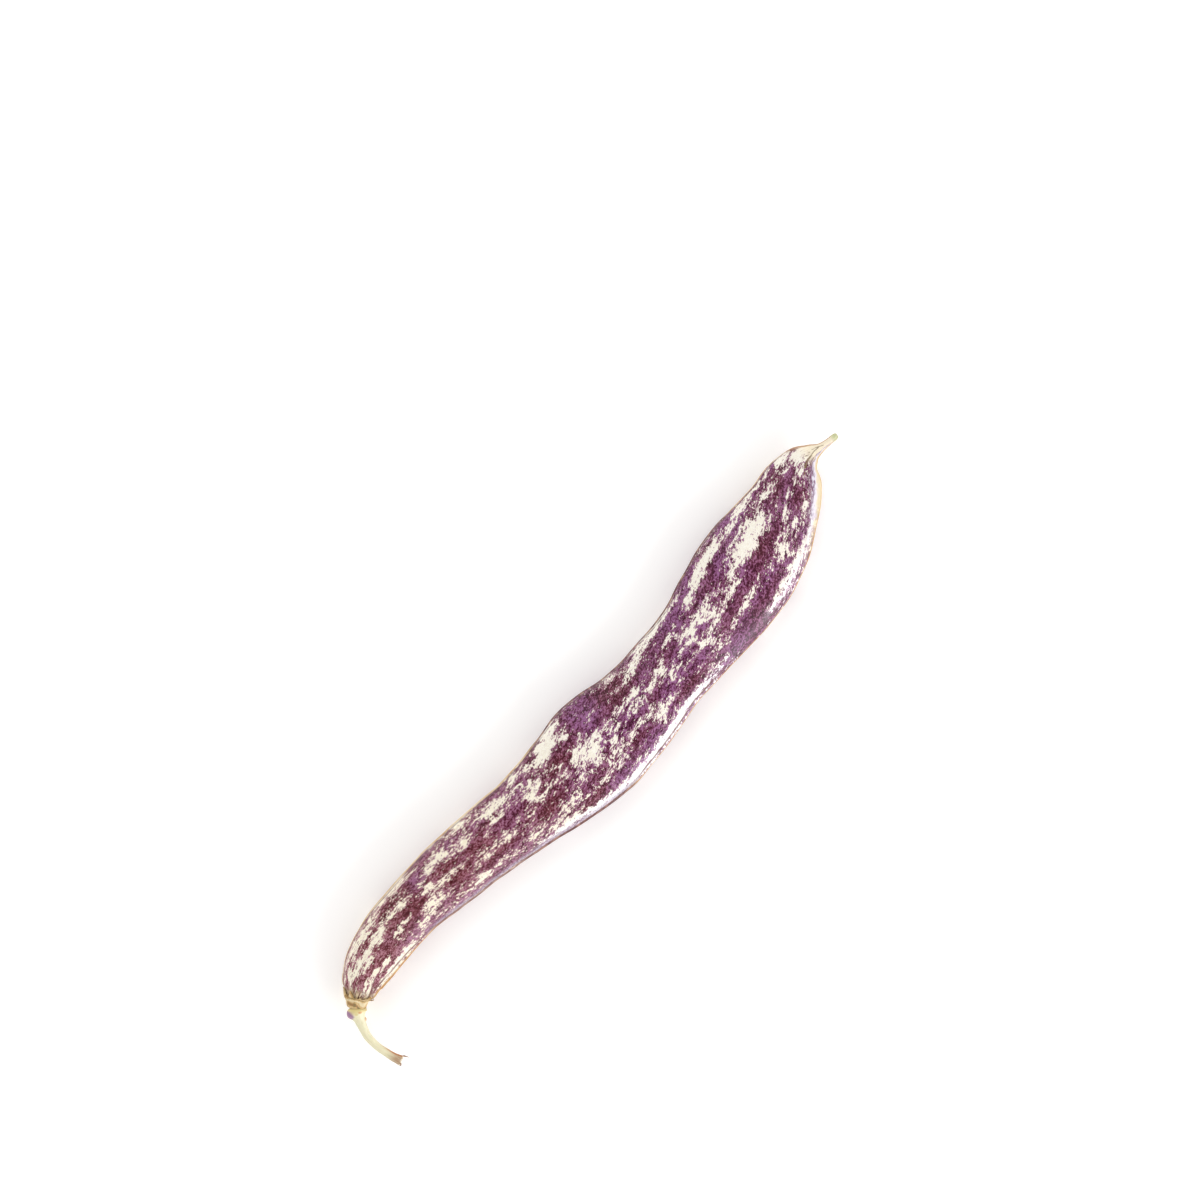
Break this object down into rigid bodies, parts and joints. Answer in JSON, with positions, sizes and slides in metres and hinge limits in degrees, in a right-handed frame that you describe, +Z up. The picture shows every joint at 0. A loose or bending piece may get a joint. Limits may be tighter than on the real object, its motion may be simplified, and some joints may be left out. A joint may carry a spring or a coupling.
{
  "type": "bean pod",
  "caption": "Long flat bean pod, cream with purple mottling, gently curved, with a short beak at one end and a dry calyx and cut stem at the other, lying on its side",
  "frame": {"origin": "middle of the bounding box's base, on the surface the pod lies on", "axes": "+X along the pod from its stem end to its beak, +Y towards its back seam, +Z up from the surface it lies on"},
  "size_m": [0.1536, 0.025, 0.0097],
  "materials": {
    "pod_skin": "satin",
    "dry_calyx": "matte",
    "stem_skin": "matte"
  },
  "bodies": {
    "root": {"pod": "pod_skin", "calyx": "dry_calyx", "stem": "stem_skin"}
  },
  "joints": []
}
